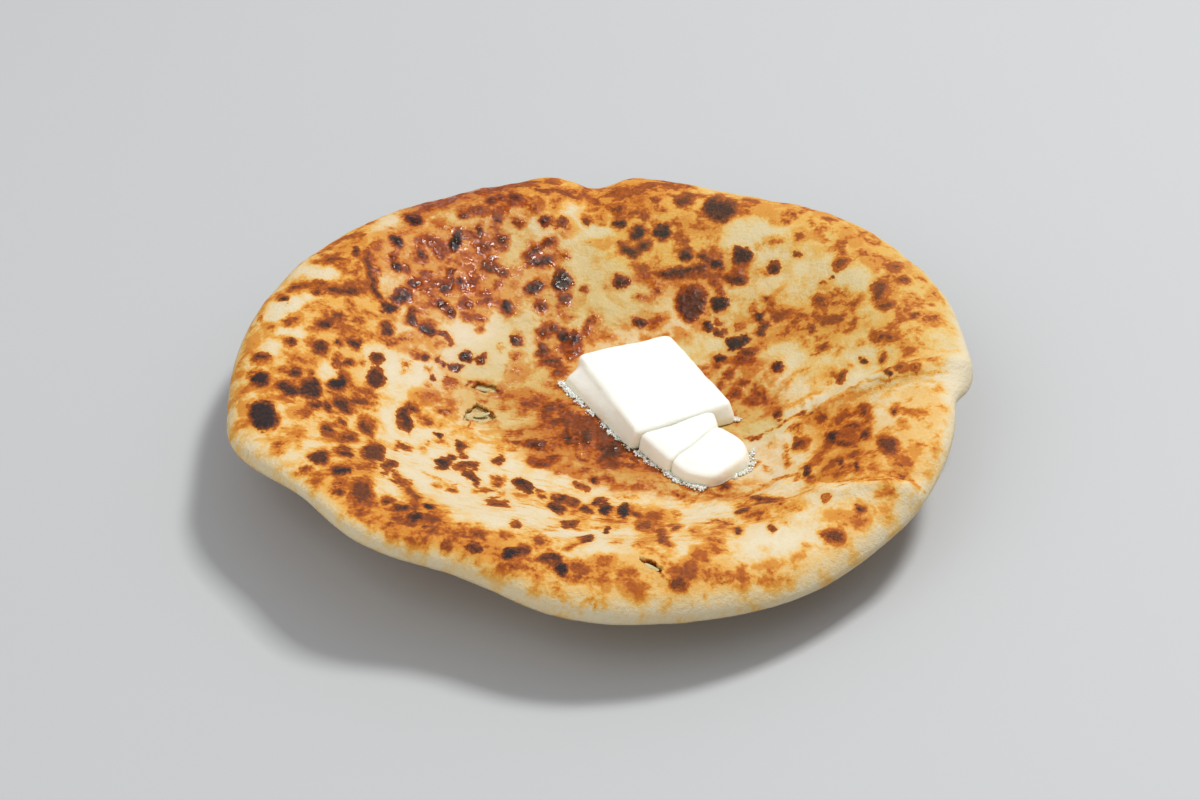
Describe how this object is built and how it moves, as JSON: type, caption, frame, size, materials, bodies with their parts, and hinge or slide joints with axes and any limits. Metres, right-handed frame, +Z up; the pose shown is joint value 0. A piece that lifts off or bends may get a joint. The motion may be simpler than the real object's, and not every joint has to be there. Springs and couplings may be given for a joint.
{
  "type": "aloo paratha with butter",
  "caption": "Round potato-filled flatbread, sagged into a shallow dish shape with a rolled edge, with a slab and slices of butter melting in its hollow.",
  "frame": {"origin": "on the flat middle of the underside, under the centre of the bread", "axes": "+Z up, +X to the right and -Y to the near side as the bread is served"},
  "size_m": [0.2499, 0.2486, 0.0379],
  "materials": {
    "griddled_dough": "griddled wheat dough, cream with toasted orange-brown patches and dark blisters, oiled in the hollow",
    "spiced_potato": "mashed potato with herb and onion, moist",
    "butter": "pale cream butter, softened and wet at its foot"
  },
  "bodies": {
    "root": {"dough": "griddled_dough", "potato_filling": "spiced_potato", "butter_slab": "butter", "butter_slice_middle": "butter", "butter_slice_end": "butter"}
  },
  "joints": []
}
